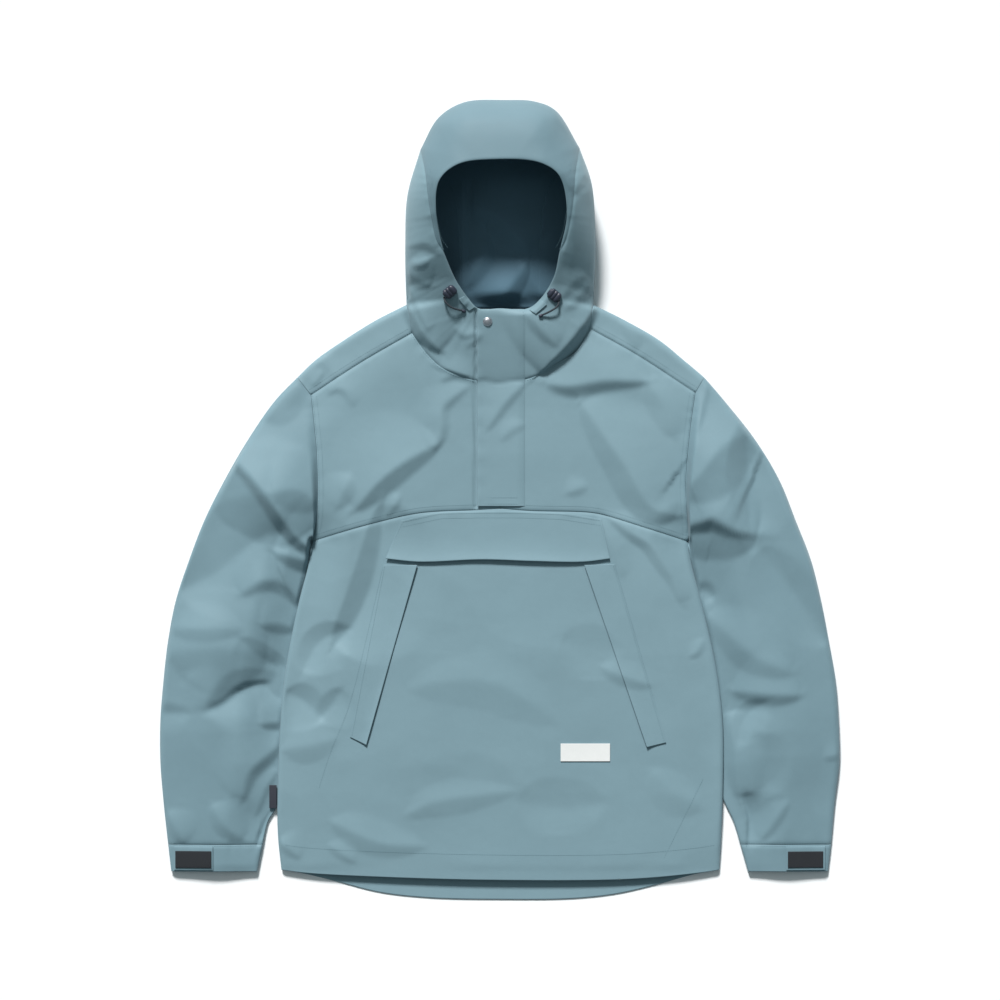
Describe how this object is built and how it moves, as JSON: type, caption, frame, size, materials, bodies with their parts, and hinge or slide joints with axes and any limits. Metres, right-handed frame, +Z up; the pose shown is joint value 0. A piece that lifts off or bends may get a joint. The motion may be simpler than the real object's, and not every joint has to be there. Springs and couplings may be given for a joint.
{
  "type": "anorak pullover laid flat",
  "caption": "Pale blue hooded anorak pullover laid flat: chest pocket with flap, half placket with snap, toggled hood, cuff tabs, tailed hem.",
  "frame": {"origin": "on the surface that the garment rests on, under the middle of its overall outline", "axes": "+Y from the hem to the top of the hood, +Z up out of the garment's front, +X towards the wearer's left hand, which is the right of the picture"},
  "size_m": [0.8819, 1.0331, 0.11],
  "materials": {
    "shell_cloth": "matte",
    "dark_webbing": "matte",
    "hook_and_loop": "matte",
    "dark_plastic": "satin",
    "cord": "matte",
    "metal": "satin",
    "label_cloth": "satin"
  },
  "bodies": {
    "root": {"front_lower": "shell_cloth", "front_upper_left": "shell_cloth", "front_upper_right": "shell_cloth", "back": "shell_cloth", "sleeve_left": "shell_cloth", "sleeve_right": "shell_cloth", "cuff_left": "shell_cloth", "cuff_right": "shell_cloth", "hood_left": "shell_cloth", "hood_right": "shell_cloth", "hood_middle": "shell_cloth", "back_shoulder_left": "shell_cloth", "back_shoulder_right": "shell_cloth", "sleeve_under_left": "shell_cloth", "sleeve_under_right": "shell_cloth", "placket": "shell_cloth", "pocket_flap": "shell_cloth", "pocket_welt_left": "shell_cloth", "pocket_welt_right": "shell_cloth", "cuff_tab_left": "shell_cloth", "cuff_tab_right": "shell_cloth", "lock_loop_left": "shell_cloth", "lock_loop_right": "shell_cloth", "side_tab": "dark_webbing", "cuff_grip_left": "hook_and_loop", "cuff_grip_right": "hook_and_loop", "cord_lock_left": "dark_plastic", "cord_lock_right": "dark_plastic", "cord_tip_left": "dark_plastic", "cord_tip_right": "dark_plastic", "cord_left": "cord", "cord_right": "cord", "snap_button": "metal", "label": "label_cloth"}
  },
  "joints": []
}
